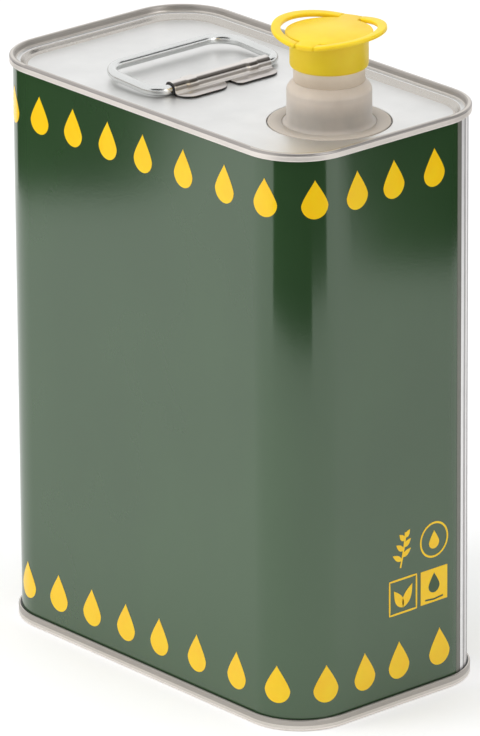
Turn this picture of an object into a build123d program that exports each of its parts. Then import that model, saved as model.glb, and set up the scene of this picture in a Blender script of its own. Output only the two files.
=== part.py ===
# Rectangular oil tin with a folding wire handle and a pull-up pouring spout
import os
from math import cos, radians, sin

from build123d import *

os.makedirs("parts", exist_ok=True)

# Tin body. The origin is the middle of the foot, X runs along the long side and Z is up.
tin_length = 154.0
tin_depth = 88.0
tin_height = 202.0
corner_radius = 20.0
sheet = 0.4

# Double seams, folded from five layers of sheet
top_seam_height = 2.8
bottom_seam_height = 4.0
cover_hook_share = 0.5
seam_round = 0.7
seam_lip_round = 0.3

# Ends: a narrow ledge inside the seam, a sloping step and a flat panel
ledge_depth = 2.3
ledge_width = 1.8
step_run = 1.4
panel_depth = 4.0

# Spout fitting in the top end
spout_margin = 7.0
flange_radius = 20.35
flange_thickness = 0.9
flange_round = 0.3
flange_overlap = 2.15
seat_depth = 1.2
seat_clearance = 0.35
collar_clearance = 0.2
collar_wall = 2.4
collar_length = 6.2
barb_reach = 0.9
barb_height = 2.0
gasket_thickness = 0.4
gasket_width = 1.6

# Flexible sleeve
sleeve_wall = 1.0
foot_reach = 1.5
foot_round = 0.8
shoulder_rise = 10.9
shoulder_height = 3.4
shoulder_width = 2.3
shoulder_lag = 0.4

# Nozzle and cap
neck_wall = 1.2
neck_height = 14.0
lip_chamfer = 0.5
cap_fit = 0.1
skirt_wall = 1.1
skirt_height = 10.2
hem_flat = 0.2
disc_overhang = 1.45
disc_thickness = 1.7
disc_round = 0.3
liner_thickness = 1.0

# Pull loops, one each side of two ears on the cap
loop_axis_angle = 112.0
loop_clearance = 1.45
loop_width = 3.1
loop_thickness = 1.5
loop_round = 0.4
loop_tilt = 8.0
ear_half_width = 3.4
ear_gap = 0.1
ear_setback = 0.3

# Handle: a wire bail turning in a bracket welded to the top end
wire_radius = 1.75
wire_fit = 0.1
bail_x = -10.0
bail_reach = 28.3
bail_half_span = 27.5
bail_near_radius = 6.0
bail_far_radius = 9.5
bail_end_gap = 1.2
bail_tilt = 3.0
bracket_sheet = 0.8
bracket_end_gap = 0.3
bracket_lip_gap = 0.5
lobe_flat = 1.65
lobe_round = 5.0
lobe_notch = 2.4
lobe_notch_y = 0.8
left_lobe_round = 6.0
right_lobe_round = 2.0
crimp_length = 5.0
crimp_inset = 5.5
crimp_swell = 0.35

# How far a cutting shape runs past what it cuts
overrun = 1.0

# Heights and fits that follow from the sizes above
seam_reach = 3 * sheet
chuck_inset = 2 * sheet
ledge_inset = chuck_inset + ledge_width
panel_inset = ledge_inset + step_run
panel_top = tin_height - panel_depth
seat_floor = panel_top - seat_depth
seat_radius = flange_radius + seat_clearance
spout_x = tin_length / 2 - panel_inset - spout_margin - seat_radius
flange_bottom = seat_floor + gasket_thickness
flange_top = flange_bottom + flange_thickness
seat_hole_radius = flange_radius - flange_overlap
collar_radius = seat_hole_radius - collar_clearance
collar_inner_radius = collar_radius - collar_wall
sleeve_radius = collar_inner_radius - foot_reach
sleeve_bore = sleeve_radius - sleeve_wall
neck_radius = sleeve_radius - shoulder_width
neck_bore = neck_radius - neck_wall
shoulder_bottom = panel_top + shoulder_rise
neck_bottom = shoulder_bottom + shoulder_height
neck_top = neck_bottom + neck_height
skirt_bore = neck_radius + cap_fit
skirt_radius = skirt_bore + skirt_wall
skirt_round = skirt_wall - hem_flat
disc_radius = skirt_radius + disc_overhang
disc_bottom = neck_top + liner_thickness
disc_top = disc_bottom + disc_thickness
skirt_bottom = disc_bottom - skirt_height
loop_inner_radius = disc_radius + loop_clearance
loop_outer_radius = loop_inner_radius + loop_width
ear_radius = loop_outer_radius - ear_setback
hinge_inset = ear_half_width + ear_gap
barrel_bore = wire_radius + wire_fit
barrel_radius = barrel_bore + bracket_sheet
bail_z = panel_top + barrel_bore
bracket_length = 2 * (bail_half_span - bail_near_radius - bracket_end_gap)
crimp_offset = bracket_length / 2 - crimp_inset - crimp_length / 2
lobe_reach = barrel_bore + lobe_flat + lobe_round

# Section plane and axis of the round spout pieces
spout_section = Plane(origin=(spout_x, 0, 0), x_dir=(1, 0, 0), z_dir=(0, -1, 0))
spout_axis = Axis((spout_x, 0, 0), (0, 0, 1))


def outline(inset, mode=Mode.ADD):
    """Rounded rectangle that lies the given distance inside the tin's outer wall."""
    RectangleRounded(tin_length - 2 * inset, tin_depth - 2 * inset, corner_radius - inset, mode=mode)


def band(outer_inset, inner_inset, low, high):
    """Upright band between two outlines, from one height to another."""
    with BuildSketch(Plane.XY.offset(low)) as ring:
        outline(outer_inset)
        outline(inner_inset, Mode.SUBTRACT)
    extrude(ring.sketch, amount=high - low)


def funnel(top_inset, top, low_inset, low, mode=Mode.ADD):
    """Solid that slopes from one outline down to a smaller one."""
    with BuildSketch(Plane.XY.offset(top)) as mouth:
        outline(top_inset)
    with BuildSketch(Plane.XY.offset(low)) as foot:
        outline(low_inset)
    loft([foot.sketch, mouth.sketch], mode=mode)


def end_shape(seam_height):
    """Pressed end with its rolled seam: its top is at height zero and its panel is below."""
    with BuildPart() as shape:
        band(-seam_reach, chuck_inset, -sheet, 0)
        band(-seam_reach, -2 * sheet, -seam_height, 0)
        band(-seam_reach, 0, -seam_height, sheet - seam_height)
        band(-sheet, 0, -seam_height, -seam_height * (1 - cover_hook_share))
        band(sheet, chuck_inset, -ledge_depth - sheet, 0)
        band(sheet, panel_inset, -ledge_depth - sheet, -ledge_depth)
        lip = shape.faces().sort_by(Axis.Z)[0].outer_wire().edges()
        crown = shape.faces().sort_by(Axis.Z)[-1].edges()
        fillet(lip, seam_lip_round)
        fillet(crown, seam_round)
        funnel(ledge_inset - sheet, -ledge_depth - sheet, panel_inset - sheet, -panel_depth - sheet)
        funnel(ledge_inset, -ledge_depth, panel_inset, -panel_depth, Mode.SUBTRACT)
    return shape.part


def body_hook(face, inward, seam_height):
    """Outward flange and hook at one end of the body wall."""
    flange_face = face + inward * sheet
    flange_back = face + inward * 2 * sheet
    hook_end = face + inward * (seam_height - sheet)
    band(-2 * sheet, sheet, min(flange_face, flange_back), max(flange_face, flange_back))
    band(-2 * sheet, -sheet, min(flange_face, hook_end), max(flange_face, hook_end))


def spout_disc(radius, low, high, mode=Mode.ADD):
    """Round plate or hole on the spout's axis."""
    with BuildSketch(Plane.XY.offset(low)) as circle:
        with Locations((spout_x, 0)):
            Circle(radius)
    extrude(circle.sketch, amount=high - low, mode=mode)


def spin(points):
    """Solid turned about the spout's axis from radius and height pairs."""
    with BuildSketch(spout_section) as section:
        with BuildLine():
            Polyline(*points, close=True)
        make_face()
    revolve(section.sketch, axis=spout_axis)


# Body wall
with BuildPart() as body_shell:
    band(0, sheet, sheet, tin_height - sheet)
    body_hook(tin_height, -1, top_seam_height)
    body_hook(0, 1, bottom_seam_height)
body_shell.part.label = "body_shell"

# Ends
with BuildPart() as top_end:
    add(end_shape(top_seam_height).moved(Location((0, 0, tin_height))))
    spout_disc(seat_radius + sheet, seat_floor - sheet, panel_top - sheet)
    spout_disc(seat_radius, seat_floor, panel_top + overrun, Mode.SUBTRACT)
    spout_disc(seat_hole_radius, seat_floor - sheet - overrun, seat_floor + overrun, Mode.SUBTRACT)
top_end.part.label = "top_end"

with BuildPart() as bottom_end:
    mirror(end_shape(bottom_seam_height), about=Plane.XY)
bottom_end.part.label = "bottom_end"

# Sealing compound in each seam, between the hooks
with BuildPart() as top_seam_compound:
    band(-sheet, 0, tin_height - top_seam_height * (1 - cover_hook_share), tin_height - 2 * sheet)
top_seam_compound.part.label = "top_seam_compound"

with BuildPart() as bottom_seam_compound:
    band(-sheet, 0, 2 * sheet, bottom_seam_height * (1 - cover_hook_share))
bottom_seam_compound.part.label = "bottom_seam_compound"

# Spout base: a flange in the top end's seat, and a collar that snaps in under it
with BuildPart() as spout_base:
    spin(
        [
            (collar_inner_radius, flange_top),
            (flange_radius, flange_top),
            (flange_radius, flange_bottom),
            (collar_radius, flange_bottom),
            (collar_radius, seat_floor - sheet),
            (collar_radius + barb_reach, seat_floor - sheet),
            (collar_radius, seat_floor - sheet - barb_height),
            (collar_radius, flange_bottom - collar_length),
            (collar_inner_radius, flange_bottom - collar_length),
        ]
    )
    rim = spout_base.edges().group_by(Axis.Z)[-1].sort_by(SortBy.RADIUS)[-1:]
    fillet(rim, flange_round)
spout_base.part.label = "spout_base"

with BuildPart() as spout_gasket:
    spout_disc(seat_hole_radius + gasket_width, seat_floor, flange_bottom)
    spout_disc(seat_hole_radius, seat_floor - overrun, flange_bottom + overrun, Mode.SUBTRACT)
spout_gasket.part.label = "spout_gasket"

# Flexible sleeve with its foot in the spout base
with BuildPart() as spout_sleeve:
    with BuildSketch(spout_section):
        with BuildLine():
            Polyline(
                (sleeve_bore, shoulder_bottom - shoulder_lag),
                (sleeve_bore, flange_bottom),
                (collar_inner_radius, flange_bottom),
                (collar_inner_radius, flange_top),
                (sleeve_radius, flange_top),
                (sleeve_radius, shoulder_bottom),
            )
            Spline((sleeve_radius, shoulder_bottom), (neck_radius, neck_bottom), tangents=[(0, 1), (-1, 1)])
            Polyline(
                (neck_radius, neck_bottom),
                (neck_bore, neck_bottom),
                (neck_bore, neck_bottom - shoulder_lag),
            )
            Spline(
                (neck_bore, neck_bottom - shoulder_lag),
                (sleeve_bore, shoulder_bottom - shoulder_lag),
                tangents=[(1, -1), (0, -1)],
            )
        make_face()
    revolve(axis=spout_axis)
    crease = spout_sleeve.edges().filter_by(GeomType.CIRCLE).filter_by(
        lambda edge: abs(edge.radius - sleeve_radius) < sheet and abs(edge.center().Z - flange_top) < sheet
    )
    fillet(crease, foot_round)
spout_sleeve.part.label = "spout_sleeve"

# Nozzle
with BuildPart() as spout_nozzle:
    spin(
        [
            (neck_bore, neck_bottom),
            (neck_radius, neck_bottom),
            (neck_radius, neck_top),
            (neck_bore, neck_top),
        ]
    )
    mouth = spout_nozzle.edges().group_by(Axis.Z)[-1].sort_by(SortBy.RADIUS)[0]
    chamfer(mouth, lip_chamfer)
spout_nozzle.part.label = "spout_nozzle"

# Cap with two ears, and the liner that seals it on the nozzle
with BuildPart() as cap:
    spin(
        [
            (0, disc_top),
            (disc_radius, disc_top),
            (disc_radius, disc_bottom),
            (skirt_radius, disc_bottom),
            (skirt_radius, skirt_bottom),
            (skirt_bore, skirt_bottom),
            (skirt_bore, disc_bottom),
            (0, disc_bottom),
        ]
    )
    hem = cap.edges().group_by(Axis.Z)[0].sort_by(SortBy.RADIUS)[-1]
    fillet(hem, skirt_round)
    with BuildSketch(Plane.XY.offset(disc_bottom)):
        with Locations((spout_x, 0)):
            Rectangle(2 * ear_radius, 2 * ear_half_width, rotation=loop_axis_angle)
            Circle(ear_radius, mode=Mode.INTERSECT)
    extrude(amount=disc_thickness)
    fillet(cap.edges().group_by(Axis.Z)[-1], disc_round)
cap.part.label = "cap"

with BuildPart() as cap_liner:
    spout_disc(skirt_bore, neck_top, disc_bottom)
cap_liner.part.label = "cap_liner"


def pull_loop(angle):
    """Half hoop beside the cap's ears, on the given side, tilted up from its hinge line."""
    side_x = cos(radians(angle))
    side_y = sin(radians(angle))
    rise = sin(radians(loop_tilt))
    run = cos(radians(loop_tilt))
    hinge = Plane(
        origin=(spout_x + hinge_inset * side_x, hinge_inset * side_y, disc_top),
        x_dir=(side_x * run, side_y * run, rise),
        z_dir=(-side_x * rise, -side_y * rise, run),
    )
    with BuildPart() as loop:
        with BuildSketch(hinge):
            with Locations((-hinge_inset, 0)):
                Circle(loop_outer_radius)
                Circle(loop_inner_radius, mode=Mode.SUBTRACT)
            Rectangle(
                loop_outer_radius, 2 * loop_outer_radius, align=(Align.MIN, Align.CENTER), mode=Mode.INTERSECT
            )
        extrude(amount=-loop_thickness)
        fillet(loop.edges().filter_by(GeomType.CIRCLE), loop_round)
    return loop.part


pull_loop_right = pull_loop(loop_axis_angle - 90)
pull_loop_right.label = "pull_loop_right"
pull_loop_left = pull_loop(loop_axis_angle + 90)
pull_loop_left.label = "pull_loop_left"

# Wire bail. Its two ends lie inside the bracket, and its loop leans back and up from there.
bail_plane = Plane(
    origin=(bail_x, 0, bail_z),
    x_dir=(-cos(radians(bail_tilt)), 0, sin(radians(bail_tilt))),
    z_dir=(sin(radians(bail_tilt)), 0, cos(radians(bail_tilt))),
)
with BuildPart() as handle_bail:
    with BuildLine(bail_plane) as wire:
        Line((0, bail_end_gap / 2), (0, bail_half_span - bail_near_radius))
        CenterArc((bail_near_radius, bail_half_span - bail_near_radius), bail_near_radius, 180, -90)
        Line((bail_near_radius, bail_half_span), (bail_reach - bail_far_radius, bail_half_span))
        CenterArc((bail_reach - bail_far_radius, bail_half_span - bail_far_radius), bail_far_radius, 90, -90)
        Line((bail_reach, bail_half_span - bail_far_radius), (bail_reach, 0))
    with BuildSketch(Plane(origin=wire.line @ 0, z_dir=wire.line % 0)):
        Circle(wire_radius)
    sweep(path=wire.line)
    mirror(about=Plane.XZ)
handle_bail.part.label = "handle_bail"

# Bracket: a sheet hook over the bail's ends and two flat lobes welded to the top end
with BuildPart() as handle_bracket:
    with BuildSketch(Plane.XZ):
        with Locations((bail_x, bail_z)):
            Circle(barrel_radius)
            Circle(barrel_bore, mode=Mode.SUBTRACT)
            Rectangle(2 * barrel_radius, barrel_radius, align=(Align.CENTER, Align.MAX), mode=Mode.SUBTRACT)
        with Locations((bail_x + barrel_bore, bail_z)):
            Rectangle(bracket_sheet, barrel_bore, align=(Align.MIN, Align.MAX))
        with Locations((bail_x - barrel_bore, bail_z)):
            Rectangle(bracket_sheet, barrel_bore - bracket_lip_gap, align=(Align.MAX, Align.MAX))
    extrude(amount=bracket_length / 2, both=True)
    for crimp_middle in (-crimp_offset, crimp_offset):
        with BuildSketch(Plane.XZ.offset(crimp_middle - crimp_length / 2)):
            with Locations((bail_x, bail_z)):
                Circle(barrel_radius + crimp_swell)
                Circle(barrel_bore, mode=Mode.SUBTRACT)
                Rectangle(2 * tin_depth, tin_depth, align=(Align.CENTER, Align.MAX), mode=Mode.SUBTRACT)
        extrude(amount=crimp_length)
    for low, high, low_round, high_round in (
        (-bracket_length / 2, lobe_notch_y - lobe_notch / 2, lobe_round, left_lobe_round),
        (lobe_notch_y + lobe_notch / 2, bracket_length / 2, right_lobe_round, lobe_round),
    ):
        with BuildSketch(Plane.XY.offset(panel_top)) as lobe:
            with Locations((bail_x + barrel_bore, low)):
                Rectangle(lobe_reach - barrel_bore, high - low, align=Align.MIN)
            tips = lobe.vertices().group_by(Axis.X)[-1].sort_by(Axis.Y)
            fillet(tips[0], low_round)
            fillet(tips[1], high_round)
        extrude(amount=bracket_sheet)
handle_bracket.part.label = "handle_bracket"

for piece in (
    body_shell.part,
    top_end.part,
    bottom_end.part,
    top_seam_compound.part,
    bottom_seam_compound.part,
    spout_base.part,
    spout_gasket.part,
    spout_sleeve.part,
    spout_nozzle.part,
    cap.part,
    cap_liner.part,
    pull_loop_right,
    pull_loop_left,
    handle_bail.part,
    handle_bracket.part,
):
    export_step(piece, "parts/" + piece.label + ".step")
    print(piece.label, "solids", len(piece.solids()), "volume", round(piece.volume))
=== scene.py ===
# Looks of the oil tin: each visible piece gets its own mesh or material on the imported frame.
import math

import bmesh
import bpy
from mathutils import Matrix, Vector


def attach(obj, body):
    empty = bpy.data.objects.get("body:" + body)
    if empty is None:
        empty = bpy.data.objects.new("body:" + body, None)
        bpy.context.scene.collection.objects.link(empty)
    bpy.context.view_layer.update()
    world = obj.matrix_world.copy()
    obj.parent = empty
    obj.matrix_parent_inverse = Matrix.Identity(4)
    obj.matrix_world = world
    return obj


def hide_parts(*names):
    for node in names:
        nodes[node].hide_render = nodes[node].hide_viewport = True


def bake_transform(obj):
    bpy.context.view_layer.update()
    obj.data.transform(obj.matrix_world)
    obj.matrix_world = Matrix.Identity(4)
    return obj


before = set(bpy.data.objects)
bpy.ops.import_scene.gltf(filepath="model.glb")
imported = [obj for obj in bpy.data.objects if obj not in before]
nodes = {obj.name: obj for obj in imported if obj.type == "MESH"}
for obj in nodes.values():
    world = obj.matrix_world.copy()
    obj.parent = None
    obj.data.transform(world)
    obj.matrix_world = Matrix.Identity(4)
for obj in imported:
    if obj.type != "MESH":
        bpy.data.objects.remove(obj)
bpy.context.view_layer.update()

# Tin, in metres and with the sizes of the solids
LENGTH, DEPTH, HEIGHT, CORNER, SHEET = 0.154, 0.088, 0.202, 0.020, 0.0004
TOP_SEAM, BOTTOM_SEAM = 0.0028, 0.0040
PANEL_DEPTH = 0.004
PANEL = HEIGHT - PANEL_DEPTH
HALF_X, HALF_Y = LENGTH / 2 - CORNER, DEPTH / 2 - CORNER
QUARTER = math.pi / 2 * CORNER
GIRTH = 4 * (HALF_X + HALF_Y + QUARTER)
CORNER_STEPS = 24

# Spout and cap
SPOUT_X = 0.0453
FLANGE_TOP = PANEL + 0.0001
SLEEVE_RADIUS, SLEEVE_WALL = 0.0141, 0.001
SHOULDER_RISE, SHOULDER_HEIGHT, SHOULDER_WIDTH = 0.0109, 0.0034, 0.0023
NECK_RADIUS, NECK_BORE = SLEEVE_RADIUS - SHOULDER_WIDTH, 0.0106
NECK_BOTTOM = PANEL + SHOULDER_RISE + SHOULDER_HEIGHT
NECK_TOP = NECK_BOTTOM + 0.0140
DISC_BOTTOM = NECK_TOP + 0.001
DISC_TOP = DISC_BOTTOM + 0.0017
LOOP_AXIS = math.radians(112)


# Mesh helpers
def mesh_object(name, verts, faces, smooth=True):
    mesh = bpy.data.meshes.new(name)
    mesh.from_pydata(verts, [], faces)
    mesh.validate()
    bm = bmesh.new()
    bm.from_mesh(mesh)
    bmesh.ops.remove_doubles(bm, verts=bm.verts, dist=1e-7)
    bmesh.ops.recalc_face_normals(bm, faces=bm.faces)
    bm.to_mesh(mesh)
    bm.free()
    for polygon in mesh.polygons:
        polygon.use_smooth = smooth
    obj = bpy.data.objects.new(name, mesh)
    bpy.context.scene.collection.objects.link(obj)
    return obj


def ring_faces(rings, size, closed=False):
    """Faces between closed rings of points, and from the last ring to the first if closed."""
    faces = []
    for i in range(rings if closed else rings - 1):
        j = (i + 1) % rings
        for k in range(size):
            n = (k + 1) % size
            faces.append((i * size + k, i * size + n, j * size + n, j * size + k))
    return faces


def capped_faces(rings, size):
    """Faces between closed rings of points, with the first and last ring filled."""
    ends = [tuple(range(size)), tuple((rings - 1) * size + k for k in range(size))]
    return ring_faces(rings, size) + ends


def grid_faces(lines, size):
    """Faces between open lines of points."""
    faces = []
    for i in range(lines - 1):
        for k in range(size - 1):
            a = i * size + k
            faces.append((a, a + 1, a + size + 1, a + size))
    return faces


def arc(cx, cy, radius, start, end, steps):
    """Points on an arc between two angles in degrees."""
    points = []
    for i in range(steps + 1):
        a = math.radians(start + (end - start) * i / steps)
        points.append((cx + radius * math.cos(a), cy + radius * math.sin(a)))
    return points


def outline(inset, side_steps=8):
    """Points round the tin at one inset, counter-clockwise from the front right corner."""
    radius = CORNER - inset
    corners = (
        (HALF_X, -HALF_Y, -90),
        (HALF_X, HALF_Y, 0),
        (-HALF_X, HALF_Y, 90),
        (-HALF_X, -HALF_Y, 180),
    )
    arcs = [arc(cx, cy, radius, start, start + 90, CORNER_STEPS) for cx, cy, start in corners]
    points = []
    for index, turn in enumerate(arcs):
        points += turn
        (x0, y0), (x1, y1) = turn[-1], arcs[(index + 1) % 4][0]
        for step in range(1, side_steps):
            t = step / side_steps
            points.append((x0 + (x1 - x0) * t, y0 + (y1 - y0) * t))
    return points


def swept_ring(name, profile, closed=False, side_steps=8):
    """Sweeps inset and height pairs round the tin's outline."""
    rows = [outline(inset, side_steps) for inset, _ in profile]
    verts = [(x, y, z) for row, (_, z) in zip(rows, profile) for x, y in row]
    return mesh_object(name, verts, ring_faces(len(rows), len(rows[0]), closed))


def turned(name, profile, base=0.0, steps=96):
    """Turns a closed section of radius and height pairs about the spout's axis."""
    verts = []
    for radius, rise in profile:
        for k in range(steps):
            a = 2 * math.pi * k / steps
            verts.append((SPOUT_X + radius * math.cos(a), radius * math.sin(a), base + rise))
    return mesh_object(name, verts, ring_faces(len(profile), steps, closed=True))


def tube(name, points, radius, steps):
    """Round wire along points, with flat ends."""
    verts = []
    previous = None
    for i, p in enumerate(points):
        before = Vector(points[max(i - 1, 0)])
        after = Vector(points[min(i + 1, len(points) - 1)])
        t = (after - before).normalized()
        if previous is None:
            u = t.orthogonal().normalized()
        else:
            u = (previous - t * previous.dot(t)).normalized()
        previous = u
        v = t.cross(u)
        for k in range(steps):
            a = 2 * math.pi * k / steps
            verts.append(tuple(Vector(p) + (u * math.cos(a) + v * math.sin(a)) * radius))
    return mesh_object(name, verts, capped_faces(len(points), steps))


# Material helpers
class Nodes:
    """Small helper that adds and links shader nodes."""

    def __init__(self, name):
        self.material = bpy.data.materials.new(name)
        self.material.use_nodes = True
        self.tree = self.material.node_tree
        self.shader = self.tree.nodes["Principled BSDF"]

    def add(self, kind, links=None, **values):
        node = self.tree.nodes.new(kind)
        for key, value in values.items():
            if hasattr(node, key):
                setattr(node, key, value)
            else:
                node.inputs[key.replace("_", " ")].default_value = value
        for key, source in (links or {}).items():
            self.tree.links.new(source, node.inputs[key])
        return node

    def put(self, socket, source):
        self.tree.links.new(source, self.shader.inputs[socket])

    def set(self, **values):
        for key, value in values.items():
            self.shader.inputs[key.replace("_", " ")].default_value = value

    def place(self, stretch=(1, 1, 1)):
        coord = self.add("ShaderNodeTexCoord")
        mapping = self.add("ShaderNodeMapping", {"Vector": coord.outputs["Object"]}, Scale=stretch)
        return mapping.outputs["Vector"]

    def height(self, low, high):
        """Share of the way up between two heights."""
        split = self.add("ShaderNodeSeparateXYZ", {"Vector": self.place()})
        rise = self.add("ShaderNodeMapRange", {"Value": split.outputs["Z"]}, From_Min=low, From_Max=high)
        return rise.outputs["Result"]

    def noise(self, scale, detail=3.0, stretch=(1, 1, 1)):
        node = self.add("ShaderNodeTexNoise", {"Vector": self.place(stretch)}, Scale=scale, Detail=detail)
        return node.outputs["Fac"]

    def ramp(self, source, stops):
        node = self.add("ShaderNodeValToRGB", {"Fac": source})
        ramp = node.color_ramp
        while len(ramp.elements) < len(stops):
            ramp.elements.new(0.5)
        for element, (position, color) in zip(ramp.elements, stops):
            element.position = position
            element.color = (*color, 1)
        return node.outputs["Color"]

    def span(self, source, low, high):
        node = self.add("ShaderNodeMapRange", {"Value": source}, To_Min=low, To_Max=high)
        return node.outputs["Result"]

    def tones(self, dark, light, source, low=0.3, high=0.7):
        """Colour that drifts between two tones."""
        return self.ramp(source, [(low, dark), (high, light)])

    def roughness(self, source, low, high):
        self.put("Roughness", self.span(source, low, high))

    def bump(self, source, strength):
        node = self.add("ShaderNodeBump", {"Height": source}, Strength=strength, Distance=0.0002)
        self.put("Normal", node.outputs["Normal"])

    def glow_through(self, weight, radius):
        """Light that scatters under the surface, by its reach in metres for each colour."""
        self.set(Subsurface_Weight=weight, Subsurface_Radius=radius, Subsurface_Scale=1.0)


def srgb(r, g, b):
    def one(c):
        c /= 255
        return c / 12.92 if c <= 0.04045 else ((c + 0.055) / 1.055) ** 2.4
    return (one(r), one(g), one(b))


def grey(share):
    return (share, share, share)


def green_lacquer():
    m = Nodes("green_lacquer")
    drift = m.noise(scale=14, detail=4, stretch=(1, 1, 0.6))
    m.put("Base Color", m.tones(srgb(42, 69, 39), srgb(48, 76, 44), drift, low=0.35, high=0.62))
    m.roughness(m.noise(scale=26), low=0.10, high=0.14)
    m.set(IOR=1.78, Specular_Tint=(0.90, 1.0, 0.89, 1))
    m.bump(m.noise(scale=900, detail=2), strength=0.03)
    return m.material


def yellow_ink():
    m = Nodes("yellow_ink")
    m.put("Base Color", m.tones(srgb(255, 203, 0), srgb(255, 211, 2), m.noise(scale=160)))
    m.roughness(m.noise(scale=60, detail=2), low=0.16, high=0.22)
    m.set(IOR=1.5)
    return m.material


def ink(name, color, rough=0.35, specular=0.5):
    m = Nodes(name)
    m.put("Base Color", m.tones(tuple(c * 0.9 for c in color), color, m.noise(scale=240)))
    m.roughness(m.noise(scale=80, detail=2), low=rough - 0.05, high=rough + 0.05)
    m.set(Specular_IOR_Level=specular)
    return m.material


def tinplate(name, base, rough, metallic=1.0, grain=(1, 1, 1)):
    m = Nodes(name)
    drift = m.noise(scale=70, detail=4, stretch=grain)
    m.put("Base Color", m.tones(tuple(c * 0.93 for c in base), base, drift))
    m.roughness(m.noise(scale=220, detail=4, stretch=grain), low=rough - 0.04, high=rough + 0.05)
    m.set(Metallic=metallic)
    m.bump(m.noise(scale=1400, detail=2, stretch=grain), strength=0.04)
    return m.material


def milky_plastic():
    """Milky plastic with painted shade above its foot, darker by height, standing in for the dark inside of
    the tin seen in the plastic.
    """
    m = Nodes("milky_plastic")
    rise = m.height(low=PANEL + 0.0002, high=PANEL + 0.0095)
    # Painted shade: darker just above the foot and fading out towards the shoulder, broken up by cloudy
    # noise
    painted_shade = m.ramp(rise, [(0.0, grey(0.5)), (0.12, grey(0.62)), (0.5, grey(0.54)), (1.0, grey(0))])
    uneven = m.span(m.noise(scale=110, detail=2), low=0.55, high=1.45)
    share = m.add("ShaderNodeMath", {0: painted_shade, 1: uneven}, operation="MULTIPLY")
    cloud = m.tones(srgb(213, 199, 185), srgb(221, 208, 194), m.noise(scale=160))
    mix = m.add("ShaderNodeMix", {"Factor": share.outputs[0], 6: cloud}, data_type="RGBA")
    # Colour of the painted shade
    mix.inputs[7].default_value = (*srgb(152, 149, 143), 1)
    m.put("Base Color", mix.outputs[2])
    m.roughness(m.noise(scale=300), low=0.42, high=0.54)
    m.set(Sheen_Weight=0.5)
    m.glow_through(weight=0.3, radius=(0.003, 0.0025, 0.002))
    m.bump(m.noise(scale=700), strength=0.05)
    return m.material


# The spout's plastic painted lighter on the neck: painted light that offsets the shade under the cap.
def neck_plastic_lit():
    m = Nodes("neck_plastic_lit")
    m.put("Base Color", m.tones(srgb(243, 226, 204), srgb(250, 234, 213), m.noise(scale=160)))
    m.roughness(m.noise(scale=300), low=0.42, high=0.54)
    m.bump(m.noise(scale=700), strength=0.05)
    return m.material


def flange_plastic():
    """The same milky plastic, with painted shade that makes it darker towards the sleeve."""
    m = Nodes("flange_plastic")
    centre = m.add("ShaderNodeVectorMath", {0: m.place()}, operation="SUBTRACT")
    centre.inputs[1].default_value = (SPOUT_X, 0, FLANGE_TOP)
    reach = m.add("ShaderNodeVectorMath", {0: centre.outputs["Vector"]}, operation="LENGTH")
    span = m.add("ShaderNodeMapRange", {"Value": reach.outputs["Value"]}, From_Min=0.0140, From_Max=0.0195)
    # Painted shade: darkest next to the sleeve, lighter out towards the flange's rim
    tones = [(0.0, srgb(176, 170, 163)), (0.4, srgb(190, 182, 172)), (1.0, srgb(193, 184, 173))]
    m.put("Base Color", m.ramp(span.outputs["Result"], tones))
    m.roughness(m.noise(scale=300), low=0.36, high=0.46)
    m.bump(m.noise(scale=700), strength=0.05)
    return m.material


def hook_tin():
    """Bright sheet with painted reflections: dark and light bands along the barrel, set by height."""
    m = Nodes("hook_tin")
    bright, dark, middle = (0.86, 0.82, 0.78), (0.16, 0.145, 0.13), (0.38, 0.35, 0.32)
    # Painted reflections: bands of dark, middle and bright tone by height above the panel
    lines = m.ramp(m.height(low=PANEL, high=PANEL + 0.0048), [
        (0.0, middle), (0.22, bright), (0.34, bright), (0.40, middle), (0.56, middle), (0.60, bright),
        (0.65, bright), (0.69, dark), (0.84, dark), (0.90, bright)])
    wear = m.span(m.noise(scale=160, detail=4, stretch=(1, 0.15, 1)), low=0.75, high=1.15)
    tone = m.add("ShaderNodeVectorMath", {0: lines, "Scale": wear}, operation="SCALE")
    m.put("Base Color", tone.outputs["Vector"])
    m.roughness(m.noise(scale=220, detail=4), low=0.26, high=0.36)
    m.set(Metallic=0.9)
    m.bump(m.noise(scale=1400, detail=2), strength=0.04)
    return m.material


def yellow_plastic():
    m = Nodes("yellow_plastic")
    m.put("Base Color", m.tones(srgb(250, 207, 20), srgb(254, 215, 32), m.noise(scale=110)))
    m.roughness(m.noise(scale=240), low=0.36, high=0.46)
    m.glow_through(weight=0.4, radius=(0.003, 0.002, 0.0006))
    m.bump(m.noise(scale=900), strength=0.05)
    return m.material


ALONG_SEAM, UP_WALL, ACROSS_LOBE = (1, 1, 6), (1, 1, 0.1), (1, 0.4, 1)
GREEN = green_lacquer()
YELLOW_INK = yellow_ink()
GREEN_INK = ink("green_ink", srgb(52, 80, 46))
BARE_EDGE = ink("bare_edge", srgb(116, 116, 106))
EDGE_LINE = ink("edge_line", srgb(84, 76, 72))
# Near-black painted shade: on cut edges, in the bracket's bore and in a line above the bottom seam's lip
DARK_SHADE = ink("dark_shade", (0.012, 0.011, 0.010))
TIN_LID = tinplate("tin_lid", (0.87, 0.87, 0.86), 0.42)
TIN_SEAM = tinplate("tin_seam", (0.66, 0.62, 0.57), 0.3, 0.85, ALONG_SEAM)
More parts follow.
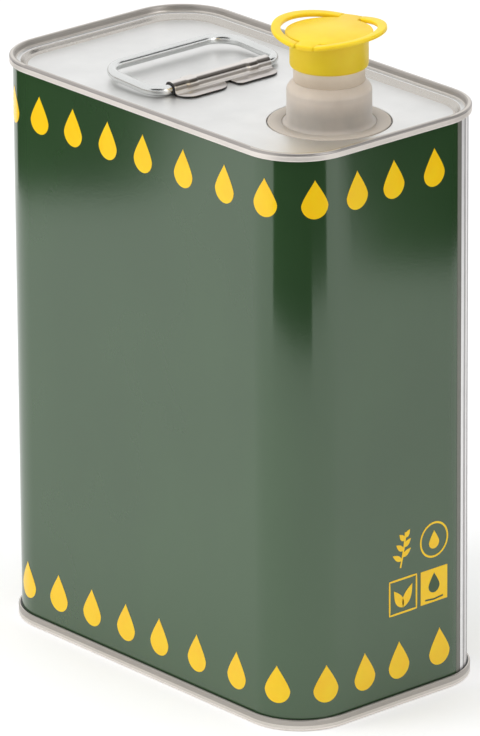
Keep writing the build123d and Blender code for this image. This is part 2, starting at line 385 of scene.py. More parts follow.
# Copies of one tinplate at other tones: painted shade on the seam's inner wall, step and the bottom seam's
# upper band, a painted dark reflection on the crown, painted light on the outer band
TIN_SHADE = tinplate("tin_shade", (0.42, 0.39, 0.36), 0.36, 0.9, ALONG_SEAM)
TIN_STEP_SHADE = tinplate("tin_step_shade", (0.58, 0.55, 0.51), 0.26, 0.9, ALONG_SEAM)
TIN_CROWN_DARK_REFLECTION = tinplate("tin_crown_dark_reflection", (0.42, 0.39, 0.37), 0.3, 0.9, ALONG_SEAM)
TIN_BAND_LIT = tinplate("tin_band_lit", (0.84, 0.785, 0.73), 0.42, 0.6, ALONG_SEAM)
TIN_STRIP = tinplate("tin_strip", (0.95, 0.94, 0.93), 0.3, 0.4, UP_WALL)
TIN_WELD = tinplate("tin_weld", (0.40, 0.38, 0.38), 0.3, 0.6, UP_WALL)
TIN_INSIDE = tinplate("tin_inside", (0.7, 0.69, 0.66), 0.4)
HOOK_TIN = hook_tin()
LOBE_TIN = tinplate("lobe_tin", (0.66, 0.62, 0.59), 0.3, 0.9, ACROSS_LOBE)
WIRE = tinplate("wire_zinc", (0.78, 0.79, 0.78), 0.24)
MILKY = milky_plastic()
NECK = neck_plastic_lit()
FLANGE = flange_plastic()
YELLOW = yellow_plastic()


def dress(obj, material, body, replaces=()):
    obj.data.materials.append(material)
    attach(obj, body)
    if replaces:
        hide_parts(*replaces)
    return obj


# Body wall: it ends inside the seams, with rows near its ends that keep its shading level
WALL_END, LOW_SUPPORT, HIGH_SUPPORT = 0.0008, 0.002, 0.0018
WALL_LEVELS = (WALL_END, LOW_SUPPORT, 0.05, 0.1, 0.15, HEIGHT - HIGH_SUPPORT, HEIGHT - WALL_END)
INSIDE_LEVELS = (HEIGHT - WALL_END, HEIGHT - HIGH_SUPPORT, 0.1, LOW_SUPPORT, WALL_END)


def inset_of(x, y):
    """How far a point lies inside the tin's outer wall."""
    return CORNER - math.hypot(max(abs(x) - HALF_X, 0), max(abs(y) - HALF_Y, 0))


body_wall = swept_ring(
    "body_wall", [(0.0, z) for z in WALL_LEVELS] + [(SHEET, z) for z in INSIDE_LEVELS], closed=True)
dress(body_wall, GREEN, "tin", ("body_shell",))
body_wall.data.materials.append(TIN_INSIDE)
for polygon in body_wall.data.polygons:
    if inset_of(polygon.center.x, polygon.center.y) > SHEET * 0.6:
        polygon.material_index = 1


# Print and side weld, placed by the distance s along the wall from the front face's middle
def perimeter_point(s, z, out):
    """Point at a distance along the wall, held a little proud of it."""
    radius = CORNER + out
    runs = (
        (HALF_X, (0, -HALF_Y - radius), (1, 0)),
        (QUARTER, (HALF_X, -HALF_Y), -90),
        (2 * HALF_Y, (HALF_X + radius, -HALF_Y), (0, 1)),
        (QUARTER, (HALF_X, HALF_Y), 0),
        (2 * HALF_X, (HALF_X, HALF_Y + radius), (-1, 0)),
        (QUARTER, (-HALF_X, HALF_Y), 90),
        (2 * HALF_Y, (-HALF_X - radius, HALF_Y), (0, -1)),
        (QUARTER, (-HALF_X, -HALF_Y), 180),
        (HALF_X, (-HALF_X, -HALF_Y - radius), (1, 0)),
    )
    s %= GIRTH
    for length, (x, y), way in runs:
        if s <= length:
            break
        s -= length
    if isinstance(way, tuple):
        return (x + way[0] * s, y + way[1] * s, z)
    angle = math.radians(way) + s / CORNER
    return (x + radius * math.cos(angle), y + radius * math.sin(angle), z)


def wall_patch(columns, levels, out):
    """Patch on the wall between columns of s and levels of z."""
    verts = [perimeter_point(s, z, out) for s in columns for z in levels]
    return verts, grid_faces(len(columns), len(levels))


# Side weld: its dull edge, the bare margin and two ridges, each as s from and to, and how proud
WELD_LEVELS = (BOTTOM_SEAM - 0.0005, 0.07, 0.14, HEIGHT - TOP_SEAM + 0.0005)
WELD_STEPS = 10
for name, start, end, out, material in (
    ("weld_edge", 0.1409, 0.1429, 0.00003, BARE_EDGE),
    ("weld_line", 0.1429, 0.1434, 0.00003, EDGE_LINE),
    ("weld_margin", 0.1434, 0.1562, 0.00003, TIN_STRIP),
    ("weld_ridge_a", 0.1456, 0.1472, 0.00008, TIN_WELD),
    ("weld_ridge_b", 0.1493, 0.1535, 0.00008, TIN_WELD),
):
    columns = [start + (end - start) * i / WELD_STEPS for i in range(WELD_STEPS + 1)]
    verts, faces = wall_patch(columns, WELD_LEVELS, out)
    dress(mesh_object(name, verts, faces), material, "tin")

# How proud the print is: ink on the wall, leaves, and ink on ink
INK, LEAF_INK, OVER_INK = 0.00005, 0.00006, 0.00009


def drop_half_width(t, width, height):
    """Half width of a plain drop at the share t of its height, from the round foot to the tip."""
    r = width / 2
    z = t * height
    if z <= r:
        return math.sqrt(max(r * r - (z - r) ** 2, 0.0))
    u = (z - r) / (height - r)
    return r * (math.cos(u * math.pi / 2) ** 1.25) * (1 - 0.12 * math.sin(math.pi * u))


def drop(s, z, width=0.0092, height=0.0134, out=INK):
    """Drop whose round foot stands at (s, z)."""
    rows, columns, least = 30, 8, 0.00001
    verts = []
    for i in range(rows + 1):
        t = 0.5 - 0.5 * math.cos(math.pi * i / rows)
        half = max(drop_half_width(t, width, height), least)
        for k in range(columns + 1):
            verts.append(perimeter_point(s + half * (2 * k / columns - 1), z + t * height, out))
    return verts, grid_faces(rows + 1, columns + 1)


def stroke(points, width=0.0007, out=INK):
    """Flat line of one width along (s, z) points on the wall."""
    verts = []
    for i, (s, z) in enumerate(points):
        a, b = points[max(i - 1, 0)], points[min(i + 1, len(points) - 1)]
        if points[0] == points[-1] and i in (0, len(points) - 1):
            a, b = points[-2], points[1]
        length = math.hypot(b[0] - a[0], b[1] - a[1])
        side_s = -(b[1] - a[1]) / length * width / 2
        side_z = (b[0] - a[0]) / length * width / 2
        verts.append(perimeter_point(s + side_s, z + side_z, out))
        verts.append(perimeter_point(s - side_s, z - side_z, out))
    return verts, grid_faces(len(points), 2)


def frame_points(s, z, half, steps=6):
    """Points along a square frame's middle line."""
    corners = [(s + half * u, z + half * v) for u, v in ((-1, -1), (1, -1), (1, 1), (-1, 1), (-1, -1))]
    points = []
    for (s0, z0), (s1, z1) in zip(corners, corners[1:]):
        points += [(s0 + (s1 - s0) * i / steps, z0 + (z1 - z0) * i / steps) for i in range(steps)]
    return points + [corners[-1]]


def leaf(s, z, length, width, angle):
    """Filled leaf from its foot at (s, z), pointing at an angle from upright."""
    rows, least = 14, 0.00002
    verts = []
    for i in range(rows + 1):
        t = i / rows
        half = max(width / 2 * math.sin(math.pi * t ** 0.8), least)
        for u in (-half, half):
            across = u * math.cos(angle) + t * length * math.sin(angle)
            up = t * length * math.cos(angle) - u * math.sin(angle)
            verts.append(perimeter_point(s + across, z + up, LEAF_INK))
    return verts, grid_faces(rows + 1, 2)


def printed(name, parts, material):
    """One printed piece from several patches."""
    verts, faces = [], []
    for part_verts, part_faces in parts:
        base = len(verts)
        verts += part_verts
        faces += [tuple(i + base for i in face) for face in part_faces]
    return dress(mesh_object(name, verts, faces), material, "tin")


# Rows of drops: the two faces that show are placed one by one, and the others evenly
TOP_ROW = [
    -0.0664, -0.0505, -0.0332, -0.0154, 0.0025, 0.0228, 0.0433, 0.0623, 0.0794, 0.0962, 0.1122, 0.1300]
LOW_ROW = [
    -0.0775, -0.0611, -0.0443, -0.0268, -0.0091, 0.0082, 0.0274, 0.0476, 0.0659, 0.0828, 0.0992, 0.1145,
    0.1327]
TOP_ROW_FOOT, LOW_ROW_FOOT = 0.1791, 0.0093
TOP_HIDDEN, LOW_HIDDEN = (0.1670, GIRTH - 0.0840), (0.1680, GIRTH - 0.0945)
HIDDEN_DROPS = 13


def whole_row(seen, first, last):
    """The drops of one row, with the hidden ones spread between two distances."""
    return seen + [first + (last - first) * i / (HIDDEN_DROPS - 1) for i in range(HIDDEN_DROPS)]


drops = [drop(s, TOP_ROW_FOOT) for s in whole_row(TOP_ROW, *TOP_HIDDEN)]
drops += [drop(s, LOW_ROW_FOOT) for s in whole_row(LOW_ROW, *LOW_HIDDEN)]
printed("print_drops", drops, YELLOW_INK)

# Four plain marks near the foot of the narrow face, in two columns and two rows
LEFT_S, RIGHT_S, LOW_Z, HIGH_Z, MARK_HALF = 0.1163, 0.1302, 0.0386, 0.0549, 0.0060

# A drop in a ring
ring = [(RIGHT_S + u, HIGH_Z + v) for u, v in arc(0, 0, MARK_HALF, 0, 360, steps=40)]
RING_DROP_FOOT = HIGH_Z - 0.0032
marks = [stroke(ring), drop(RIGHT_S, RING_DROP_FOOT, width=0.0046, height=0.0066)]

# Two leaves in a frame
PAIR_FOOT = LOW_Z - 0.0042
marks.append(stroke(frame_points(LEFT_S, LOW_Z, MARK_HALF)))
for angle, length in ((-0.55, 0.0078), (0.5, 0.0086)):
    marks.append(leaf(LEFT_S, PAIR_FOOT, length, width=0.0034, angle=angle))


# A sprig on a bent stem, with leaves that get shorter upwards, as share of the stem and angle
STEM_S, STEM_Z, STEM_RISE, STEM_LEAN, STEM_BEND = LEFT_S - 0.0012, HIGH_Z - 0.0062, 0.0122, 0.0024, 1.3
SPRIG_LEAF, SPRIG_SHORTER = 0.0048, 0.0003
SPRIG_SHARES = ((0.2, -1.0), (0.3, 1.0), (0.48, -0.9), (0.58, 0.9), (0.76, -0.75), (0.84, 0.7))


def stem_point(share):
    return (STEM_S + STEM_LEAN * math.sin(share * STEM_BEND), STEM_Z + STEM_RISE * share)


marks.append(stroke([stem_point(i / 5) for i in range(6)]))
for index, (share, angle) in enumerate(SPRIG_SHARES):
    length = SPRIG_LEAF - SPRIG_SHORTER * index
    marks.append(leaf(*stem_point(share), length, width=0.0019, angle=angle))

# A filled square, with a drop over a shallow line left green
SQUARE_DROP_FOOT = LOW_Z - 0.0026
LINE_Z, LINE_SAG, LINE_HALF = LOW_Z - 0.0046, 0.0004, 0.0040
columns = [RIGHT_S + MARK_HALF * i / 4 for i in range(-4, 5)]
marks.append(wall_patch(columns, (LOW_Z - MARK_HALF, LOW_Z, LOW_Z + MARK_HALF), INK))
printed("print_marks", marks, YELLOW_INK)
line = [(RIGHT_S - LINE_HALF, LINE_Z), (RIGHT_S, LINE_Z - LINE_SAG), (RIGHT_S + LINE_HALF, LINE_Z)]
green = [drop(RIGHT_S, SQUARE_DROP_FOOT, width=0.0050, height=0.0072, out=OVER_INK)]
green.append(stroke(line, width=0.0006, out=OVER_INK))
printed("print_marks_green", green, GREEN_INK)

# Ends with rolled seams. The step goes from the seam's inner wall down to the flat panel,
# as inset from that wall and depth.
SEAM_OUT, SEAM_IN = -3 * SHEET, 2 * SHEET
STEP_PROFILE = (
    (0.0, 0.0011), (0.00002, 0.0018), (0.00012, 0.0021), (0.0004, 0.00228), (0.0009, 0.0023),
    (0.0014, 0.0023), (0.0018, 0.0024), (0.0022, 0.00272), (0.0027, 0.0034), (0.0031, 0.00375),
    (0.0036, 0.00395), (0.0042, PANEL_DEPTH))
PANEL_INSET = SEAM_IN + STEP_PROFILE[-1][0]
END_SIDE_STEPS = 16

# Where the ends' painted light and shade change, by inset from the wall, depth from the face, or height
LEDGE_FROM, STEP_FROM, STEP_TO = 0.0012, 0.0027, 0.0042
CROWN_TO, CROWN_DEPTH, BAND_TO, LIP_TO = -0.0006, 0.0009, -0.0009, -0.0005
LOW_BAND_TOP, LOW_BAND_DARK, SHADE_LINE_DEPTH, FACE_GAP = 0.0012, 0.0018, 0.00006, 0.00005


def end_profile(height, face, sign):
    """End in section, from the wall under its lip, over the crown and down to the flat panel's edge."""
    lip = [(0.00002, height - 0.00005), (SEAM_OUT / 2, height), (SEAM_OUT + 0.00025, height - 0.00002),
           (SEAM_OUT + 0.00006, height - 0.00016), (SEAM_OUT, height - 0.0004)]
    band = [(SEAM_OUT + 0.00006, height * 0.62), (SEAM_OUT + 0.0001, height * 0.5),
            (SEAM_OUT + 0.00004, height * 0.4)]
    groove = [(SEAM_OUT + 0.00002, 0.00105), (SEAM_OUT + 0.00014, 0.00094), (SEAM_OUT + 0.00002, 0.00083)]
    crown = [(SEAM_OUT, 0.0007), (SEAM_OUT + 0.00012, 0.00035), (SEAM_OUT + 0.0004, 0.0001),
             (SEAM_OUT + 0.0008, 0.0), (SEAM_IN - 0.0007, 0.0), (SEAM_IN - 0.00035, 0.0001),
             (SEAM_IN - 0.0001, 0.00035), (SEAM_IN, 0.0007)]
    step = [(SEAM_IN + inset, depth) for inset, depth in STEP_PROFILE]
    return [(inset, face + sign * depth) for inset, depth in lip + band + groove + crown + step]


def paint_zones(obj, zones):
    """Gives each face the first zone that takes its inset and height."""
    for material, _ in zones:
        obj.data.materials.append(material)
    for polygon in obj.data.polygons:
        x, y, z = polygon.center
        inset = inset_of(x, y)
        for index, (_, test) in enumerate(zones):
            if test(inset, z):
                polygon.material_index = index + 1
                break


def rolled_end(name, height, face, sign, node, zones):
    obj = swept_ring(name, end_profile(height, face, sign), side_steps=END_SIDE_STEPS)
    dress(obj, TIN_SEAM, "tin", (node,))
    paint_zones(obj, zones)


# Lid seam: painted shade on its inner wall and step, a painted dark reflection on its crown's outer side,
# painted light on its outer band
rolled_end("lid_seam", TOP_SEAM, HEIGHT, -1, "top_end", (
    (TIN_SHADE, lambda inset, z: -FACE_GAP < inset < SEAM_IN + FACE_GAP),
    (TIN_LID, lambda inset, z: LEDGE_FROM < inset < STEP_FROM),
    (TIN_STEP_SHADE, lambda inset, z: STEP_FROM < inset < STEP_TO),
    (TIN_CROWN_DARK_REFLECTION, lambda inset, z: inset < CROWN_TO and z > HEIGHT - CROWN_DEPTH),
    (TIN_BAND_LIT, lambda inset, z: inset < BAND_TO),
))

# Lid's panel, with a round seat as radius and depth. Two rings between outline and seat keep it level.
SEAT_PROFILE = (
    (0.0213, 0.0), (0.02095, 0.00006), (0.02078, 0.0002), (0.0207, 0.0004), (0.0207, 0.0011),
    (0.02055, 0.0012), (0.0182, 0.0012), (0.0182, 0.0016))
RING_SHARES = (0.35, 0.7)


def panel_with_seat(name):
    """Flat panel from an outline to the round seat, with the seat's rounded edge, wall and floor."""
    rim = outline(PANEL_INSET, END_SIDE_STEPS)
    angles = [math.atan2(y, x - SPOUT_X) for x, y in rim]
    verts = [(x, y, PANEL) for x, y in rim]
    edge = SEAT_PROFILE[0][0]
    for share in RING_SHARES:
        for (x, y), a in zip(rim, angles):
            goal_x, goal_y = SPOUT_X + edge * math.cos(a), edge * math.sin(a)
            verts.append((x + (goal_x - x) * share, y + (goal_y - y) * share, PANEL))
    for radius, depth in SEAT_PROFILE:
        verts += [(SPOUT_X + radius * math.cos(a), radius * math.sin(a), PANEL - depth) for a in angles]
    rings = 1 + len(RING_SHARES) + len(SEAT_PROFILE)
    return mesh_object(name, verts, ring_faces(rings, len(rim)))


dress(panel_with_seat("lid_panel"), TIN_LID, "tin")

# Bottom seam: a painted shadow line on its lip by the wall, painted shade on the upper part of its outer
# face, painted light on the lower part
rolled_end("base_seam", BOTTOM_SEAM, 0.0, 1, "bottom_end", (
    (DARK_SHADE, lambda inset, z: z > BOTTOM_SEAM - SHADE_LINE_DEPTH and inset > LIP_TO),
    (TIN_SHADE, lambda inset, z: inset < BAND_TO and z > LOW_BAND_DARK),
    (TIN_BAND_LIT, lambda inset, z: inset < BAND_TO and z < LOW_BAND_TOP),
))
rim = [(x, y, PANEL_DEPTH) for x, y in outline(PANEL_INSET, END_SIDE_STEPS)]
base_panel = mesh_object("base_panel", rim, [tuple(range(len(rim)))], smooth=False)
dress(base_panel, TIN_LID, "tin")

# Spout: flange with its collar and barb, as radius and height above the lid's panel
FLANGE_PROFILE = (
    (0.0156, -0.0001), (0.0158, 0.0001), (0.0199, 0.0001), (0.02015, 0.00005), (0.0203, -0.0001),
    (0.02035, -0.0003), (0.02035, -0.0008), (0.0180, -0.0008), (0.0180, -0.0016), (0.0189, -0.0016),
    (0.0180, -0.0036), (0.0180, -0.0070), (0.0156, -0.0070))
flange = turned("spout_flange", FLANGE_PROFILE, PANEL)
dress(flange, FLANGE, "tin", ("spout_base",))

# Sleeve: foot and straight wall as radius and height above the panel, then the shoulder
FOOT_PROFILE = [
    (0.0156, -0.0002), (0.0152, 0.0001), (0.0147, 0.0003), (0.0143, 0.0008), (SLEEVE_RADIUS, 0.0016)]
WALL_RISES = (0.004, 0.0075, SHOULDER_RISE)
SHOULDER_STEPS, SHOULDER_LAG = 12, 0.0004
FOOT_BOTTOM = FLANGE_TOP - 0.0009 - PANEL


def shoulder_share(t):
    """Share of the shoulder's width at a share of its height, level with the sleeve at its foot."""
    return t * t * (1.5 - 0.5 * t)


upper = [(SLEEVE_RADIUS, rise) for rise in WALL_RISES]
for i in range(1, SHOULDER_STEPS + 1):
    t = i / SHOULDER_STEPS
    upper.append((SLEEVE_RADIUS - SHOULDER_WIDTH * shoulder_share(t), SHOULDER_RISE + SHOULDER_HEIGHT * t))
top = SHOULDER_RISE + SHOULDER_HEIGHT
inner = [(NECK_BORE, top), (NECK_BORE, top - SHOULDER_LAG)]
inner += [(r - SLEEVE_WALL, z - SHOULDER_LAG) for r, z in reversed(upper[:-1])]
inner += [(SLEEVE_RADIUS - SLEEVE_WALL, FOOT_BOTTOM), (FOOT_PROFILE[0][0], FOOT_BOTTOM)]
sleeve = turned("spout_sleeve_skin", FOOT_PROFILE + upper + inner, PANEL)
sleeve.data.materials.append(MILKY)
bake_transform(sleeve)
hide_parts("spout_sleeve")

nozzle = turned("nozzle_skin", [
    (NECK_BORE, NECK_BOTTOM), (NECK_RADIUS, NECK_BOTTOM), (NECK_RADIUS, NECK_TOP - 0.0003),
    (0.01172, NECK_TOP - 0.0001), (0.0115, NECK_TOP), (0.0111, NECK_TOP), (0.0108, NECK_TOP - 0.0002),
    (NECK_BORE, NECK_TOP - 0.0006)])
dress(nozzle, NECK, "nozzle", ("spout_nozzle",))

# Cap: a skirt with a rounded hem, as radius and height from the disc's underside
SKIRT_PROFILE = (
    (0.0119, 0.0), (0.0119, -0.0098), (0.01195, -0.01015), (0.0121, -0.0102), (0.0124, -0.01012),
    (0.0127, -0.0099), (0.0129, -0.0096), (0.0130, -0.0092), (0.0130, -0.0003), (0.01306, -0.0001),
    (0.0132, 0.0))
skirt = turned("cap_skirt", SKIRT_PROFILE, DISC_BOTTOM)
dress(skirt, YELLOW, "cap", ("cap",))

# Cap's disc with two ears, in levels of how far the outline grows and at what height
DISC_RADIUS, EAR_REACH, EAR_HALF, DISC_STEPS = 0.01445, 0.0187, 0.0034, 180
DISC_LEVELS = (
    (-0.0003, DISC_BOTTOM), (-0.00008, DISC_BOTTOM + 0.00008), (0.0, DISC_BOTTOM + 0.0003),
    (0.0, DISC_TOP - 0.0004), (-0.0001, DISC_TOP - 0.00012), (-0.0004, DISC_TOP))


def ear_outline(grow):
    """Outline of the disc with its two ears."""
    points = []
    for k in range(DISC_STEPS):
        a = 2 * math.pi * k / DISC_STEPS
        aside = max(abs(math.sin(a - LOOP_AXIS)), 1e-6)
        r = max(DISC_RADIUS + grow, min(EAR_REACH + grow, EAR_HALF / aside))
        points.append((SPOUT_X + r * math.cos(a), r * math.sin(a)))
    return points


verts = [(x, y, z) for grow, z in DISC_LEVELS for x, y in ear_outline(grow)]
cap_disc = mesh_object("cap_disc", verts, capped_faces(len(DISC_LEVELS), DISC_STEPS))
dress(cap_disc, YELLOW, "cap")

# Pull loops: half hoops hinged beside the ears, with a section of radius and height
HOOP_TILT, HOOP_SHIFT, HOOP_END, HOOP_STEPS = math.radians(8), 0.0035, 0.00343, 56
HOOP_SECTION = (
    (0.0159, -0.0011), (0.0159, -0.0004), (0.01602, -0.0001), (0.0163, 0.0), (0.0186, 0.0),
    (0.01888, -0.0001), (0.0190, -0.0004), (0.0190, -0.0011), (0.01888, -0.0014), (0.0186, -0.0015),
    (0.0163, -0.0015), (0.01602, -0.0014))


def half_hoop(name, side, body, node):
    """Half hoop on one side of the cap, tilted up."""
    n = Vector((math.cos(side), math.sin(side), 0))
    along = Vector((-math.sin(side), math.cos(side), 0))
    up = Vector((0, 0, 1))
    outward = n * math.cos(HOOP_TILT) + up * math.sin(HOOP_TILT)
    rise = up * math.cos(HOOP_TILT) - n * math.sin(HOOP_TILT)
    hinge = Vector((SPOUT_X, 0, DISC_TOP)) + n * HOOP_SHIFT
    verts = []
    for radius, z in HOOP_SECTION:
        end = math.degrees(math.acos(HOOP_END / radius))
        for u, v in arc(-HOOP_SHIFT, 0, radius, -end, end, HOOP_STEPS):
            verts.append(tuple(hinge + outward * u + along * v + rise * z))
    size, count = HOOP_STEPS + 1, len(HOOP_SECTION)
    faces = []
    for i in range(count):
        j = (i + 1) % count
        for k in range(HOOP_STEPS):
            faces.append((i * size + k, i * size + k + 1, j * size + k + 1, j * size + k))
    faces.append(tuple(i * size for i in range(count)))
    faces.append(tuple(i * size + HOOP_STEPS for i in range(count)))
    return dress(mesh_object(name, verts, faces), YELLOW, body, (node,))


half_hoop("loop_skin_right", LOOP_AXIS - math.pi / 2, "loop_right", "pull_loop_right")
half_hoop("loop_skin_left", LOOP_AXIS + math.pi / 2, "loop_left", "pull_loop_left")

# Handle's wire, in the plane that its rest tilt gives
BAIL_X, BAIL_Z, REACH, SPAN = -0.010, PANEL + 0.00185, 0.0283, 0.0275
BAIL_TILT, WIRE_RADIUS, NEAR_ROUND, FAR_ROUND = math.radians(3), 0.00175, 0.006, 0.0095
STRAIGHT_FAR = REACH - FAR_ROUND
BARREL_POINTS = (0.0006, 0.008, 0.016)


def bail_points():
    """Wire's middle line, from one end in the barrel round to the other."""
    half = [(0.0, v) for v in BARREL_POINTS]
    half += arc(NEAR_ROUND, SPAN - NEAR_ROUND, NEAR_ROUND, 180, 90, steps=14)
    half += [(NEAR_ROUND + (STRAIGHT_FAR - NEAR_ROUND) * t, SPAN) for t in (0.25, 0.5, 0.75)]
    half += arc(STRAIGHT_FAR, SPAN - FAR_ROUND, FAR_ROUND, 90, 0, steps=16)
    half += [(REACH, (SPAN - FAR_ROUND) * t) for t in (0.66, 0.33)]
    loop = half + [(REACH, 0.0)] + [(u, -v) for u, v in reversed(half)]
    return [(BAIL_X - u * math.cos(BAIL_TILT), -v, BAIL_Z + u * math.sin(BAIL_TILT)) for u, v in loop]


bail = tube("bail_wire", bail_points(), WIRE_RADIUS, steps=24)
dress(bail, WIRE, "bail", ("handle_bail",))

# Bracket's barrel over the wire, with two crimps
HALF, BORE, HOOK, PLATE = 0.0212, 0.00185, 0.00265, 0.0008
CRIMP, CRIMP_HALF, CRIMP_SLOPE, SWELL = 0.0132, 0.0025, 0.0007, 0.00035
END_EASE, STATION_STEP, FIRST_STATION, STATIONS = 0.0001, 0.0005, -0.0205, 83
BARREL_FOOT, BACK_EDGE, BACK_EASE, FLOOR_GAP = 0.0009, -0.00135, 0.0001, 0.0002


def hook_section(swell):
    """Section of the barrel round the wire's middle, open towards the panel."""
    radius, plate_top = HOOK + swell, PLATE - BORE
    foot = [(HOOK + BARREL_FOOT, plate_top), (HOOK + 0.00035, plate_top + 0.00008),
            (HOOK + 0.00008, plate_top + 0.0004)]
    outside = arc(0, 0, radius, 0, 180, steps=15)
    back_edge = [(-radius, BACK_EDGE + BACK_EASE), (-radius + BACK_EASE, BACK_EDGE),
                 (-BORE - BACK_EASE, BACK_EDGE), (-BORE, BACK_EDGE + BACK_EASE)]
    inside = arc(0, 0, BORE, 180, 0, steps=15)
    return foot + outside + back_edge + inside + [(BORE, FLOOR_GAP - BORE), (HOOK, FLOOR_GAP - BORE)]


def crimp_swell(y):
    """How far the barrel bulges at a place along it."""
    gap = abs(abs(y) - CRIMP)
    return SWELL * min(max((CRIMP_HALF - gap) / CRIMP_SLOPE, 0.0), 1.0)


stations = [-HALF, -HALF + END_EASE]
stations += [FIRST_STATION + STATION_STEP * i for i in range(STATIONS)]
stations += [HALF - END_EASE, HALF]
verts = []
for y in stations:
    swell = -END_EASE if abs(y) == HALF else crimp_swell(y)
    verts += [(BAIL_X + u, y, BAIL_Z + w) for u, w in hook_section(swell)]
barrel = mesh_object("bracket_hook", verts, capped_faces(len(stations), len(hook_section(0))))
hook = dress(barrel, HOOK_TIN, "tin", ("handle_bracket",))
# The barrel's ends and the inside of its bore get near-black painted shade
hook.data.materials.append(DARK_SHADE)
for polygon in hook.data.polygons:
    centre = polygon.center
    reach = math.hypot(centre.x - BAIL_X, centre.z - BAIL_Z)
    at_end = abs(centre.y) > HALF - END_EASE / 5
    in_bore = reach < BORE + 0.0001 and centre.z > BAIL_Z - 0.0012
    if at_end or in_bore:
        polygon.material_index = 1

# Bracket's two lobes beside a notch, with painted shade on their cut edges. Each has its ends and its two
# outer rounds.
LOBE_REACH, LOBE_OVERLAP = 0.0085, 0.0002
NOTCH_Y, NOTCH = 0.0008, 0.0024
LOBES = (
    ("bracket_lobe_right", NOTCH_Y + NOTCH / 2, HALF, 0.0020, 0.0050),
    ("bracket_lobe_left", -HALF, NOTCH_Y - NOTCH / 2, 0.0050, 0.0060),
)
LOBE_LEVELS = ((0.0, 0.0), (0.0, 0.00068), (0.00005, 0.00076), (0.00014, PLATE))


def lobe_outline(inset, low, high, low_round, high_round):
    """Plan of one lobe between two widths, with its own round at each outer corner."""
    near, far = BAIL_X + HOOK - LOBE_OVERLAP, BAIL_X + LOBE_REACH - inset
    low, high = low + inset, high - inset
    low_round, high_round = low_round - inset, high_round - inset
    low_turn = arc(far - low_round, low + low_round, low_round, -90, 0, steps=12)
    high_turn = arc(far - high_round, high - high_round, high_round, 0, 90, steps=12)
    return [(near, low)] + low_turn + high_turn + [(near, high)]


for name, *plan in LOBES:
    rings = [[(x, y, PANEL + rise) for x, y in lobe_outline(inset, *plan)] for inset, rise in LOBE_LEVELS]
    verts = [point for ring in rings for point in ring]
    lobe = mesh_object(name, verts, capped_faces(len(rings), len(rings[0])))
    dress(lobe, LOBE_TIN, "tin")
    # The lobes' upright edges get near-black painted shade
    lobe.data.materials.append(DARK_SHADE)
    for polygon in lobe.data.polygons:
        if abs(polygon.normal.z) < 0.5:
            polygon.material_index = 1
            polygon.use_smooth = False

# Hidden pieces keep their solids
for node in ("top_seam_compound", "bottom_seam_compound", "spout_gasket", "cap_liner"):
    nodes[node].data.materials.clear()
    nodes[node].data.materials.append(MILKY if node == "cap_liner" else TIN_INSIDE)


# Floor and world: rays that show them see more light than they give to the tin
def showing_rays(tree):
    """One for a ray that shows the surface itself, or zero for a ray that only gathers light."""
    path = tree.nodes.new("ShaderNodeLightPath")
    total = path.outputs["Is Camera Ray"]
    for ray in ("Is Glossy Ray", "Is Transmission Ray"):
        add = tree.nodes.new("ShaderNodeMath")
        add.operation = "ADD"
        add.use_clamp = True
        tree.links.new(total, add.inputs[0])
        tree.links.new(path.outputs[ray], add.inputs[1])
        total = add.outputs[0]
    return total


def floor_white():
    m = Nodes("floor")
    m.put("Base Color", m.tones(grey(0.86), grey(0.89), m.noise(scale=3)))
    m.set(Roughness=0.9, Emission_Color=(1, 1, 1, 1))
    m.put("Emission Strength", m.span(showing_rays(m.tree), low=0, high=0.25))
    return m.material


bpy.ops.mesh.primitive_plane_add(size=8, location=(0, 0, 0))
floor = bpy.context.object
floor.name = "floor"
floor.data.materials.append(floor_white())

world = bpy.data.worlds.new("studio")
bpy.context.scene.world = world
world.use_nodes = True
background = world.node_tree.nodes["Background"]
background.inputs["Color"].default_value = (1, 1, 1, 1)
strength = world.node_tree.nodes.new("ShaderNodeMapRange")
strength.inputs["To Min"].default_value = 0.55
strength.inputs["To Max"].default_value = 1.0
world.node_tree.links.new(showing_rays(world.node_tree), strength.inputs["Value"])
world.node_tree.links.new(strength.outputs["Result"], background.inputs["Strength"])

# Dark cards that show only in gloss, as the dark room round a white table does
CARD = ink("dark_card", grey(0.015), rough=0.9, specular=0.0)
TABLE_LEVEL, TABLE_END, ROOM_AWAY = 0.002, 3.5, 3.0


def dark_card(name, points):
    card = mesh_object(name, points, [tuple(range(len(points)))], smooth=False)
    card.data.materials.append(CARD)
    for ray in ("camera", "diffuse", "transmission", "volume_scatter", "shadow"):
        setattr(card, "visible_" + ray, False)


def floor_card(name, near, start, end):
    """Part of a ring on the floor, between two directions in degrees from the front face's middle line."""
    inner_rim = arc(0, 0, near, start - 90, end - 90, steps=24)
    outer_rim = arc(0, 0, TABLE_END, end - 90, start - 90, steps=24)
    dark_card(name, [(x, y, TABLE_LEVEL) for x, y in inner_rim + outer_rim])


def room_card(name, start, end, low, high):
    """Upright card far away, between two directions and two heights in degrees."""
    points = []
    for a, e in ((start, low), (end, low), (end, high), (start, high)):
        a, e = math.radians(a), math.radians(e)
        away = ROOM_AWAY * math.cos(e)
        points.append((away * math.sin(a), -away * math.cos(a), ROOM_AWAY * math.sin(e)))
    dark_card(name, points)


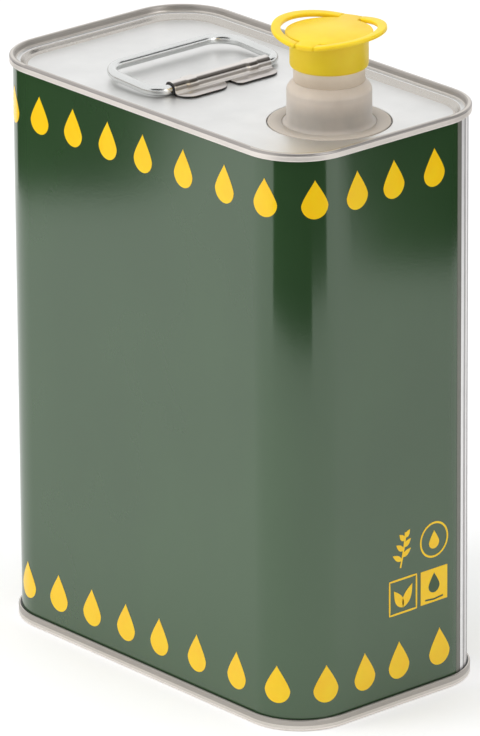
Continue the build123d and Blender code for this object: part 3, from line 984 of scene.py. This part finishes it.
floor_card("table_end_left", near=0.515, start=-85, end=-45.3)
floor_card("table_end_front", near=0.44, start=7, end=72)
floor_card("table_end_side", near=0.50, start=72, end=98)
floor_card("table_end_right", near=0.487, start=124.8, end=175)
room_card("room_front", start=15, end=85, low=22, high=55)
room_card("room_back", start=125, end=175, low=24, high=44)

# Lamps, all aimed at the tin's middle
LAMP_TARGET = Vector((0, 0, 0.1))


def area(name, place, size, power, glossy=True):
    light = bpy.data.lights.new(name, "AREA")
    light.shape = "RECTANGLE"
    light.size, light.size_y = size
    light.energy = power
    obj = bpy.data.objects.new(name, light)
    bpy.context.scene.collection.objects.link(obj)
    obj.location = place
    obj.rotation_euler = (LAMP_TARGET - Vector(place)).to_track_quat("-Z", "Y").to_euler()
    obj.visible_glossy = glossy


area("overhead", (0.1, -0.1, 1.6), size=(1.2, 1.2), power=9.8, glossy=False)
area("left", (-0.9, -1.4, 0.9), size=(0.9, 0.9), power=13, glossy=False)
area("right", (1.5, 0.1, 0.7), size=(0.5, 1.0), power=2.5)

# Camera, fitted to the photograph, with its focal length in the photograph's pixels
AZIMUTH, ELEVATION, ROLL = math.radians(49.0), math.radians(20.43), math.radians(-0.41)
FOCAL, DISTANCE, PHOTO_HEIGHT, SENSOR = 8000.0, 2.688, 736, 36
AIM = Vector((-0.000214, 0, 0.098827))
back = Vector((
    math.sin(AZIMUTH) * math.cos(ELEVATION), -math.cos(AZIMUTH) * math.cos(ELEVATION), math.sin(ELEVATION)))
level = Vector((math.cos(AZIMUTH), math.sin(AZIMUTH), 0))
upright = back.cross(level)
right = level * math.cos(ROLL) + upright * math.sin(ROLL)
up = upright * math.cos(ROLL) - level * math.sin(ROLL)
camera = bpy.data.cameras.new("camera")
camera.sensor_width = SENSOR
camera.lens = FOCAL * SENSOR / PHOTO_HEIGHT
camera.clip_end = 50
camera_object = bpy.data.objects.new("camera", camera)
bpy.context.scene.collection.objects.link(camera_object)
matrix = Matrix((right, up, back)).transposed().to_4x4()
matrix.translation = AIM + back * DISTANCE
camera_object.matrix_world = matrix
bpy.context.scene.camera = camera_object
bpy.context.scene.view_settings.view_transform = "Standard"

bpy.context.view_layer.update()
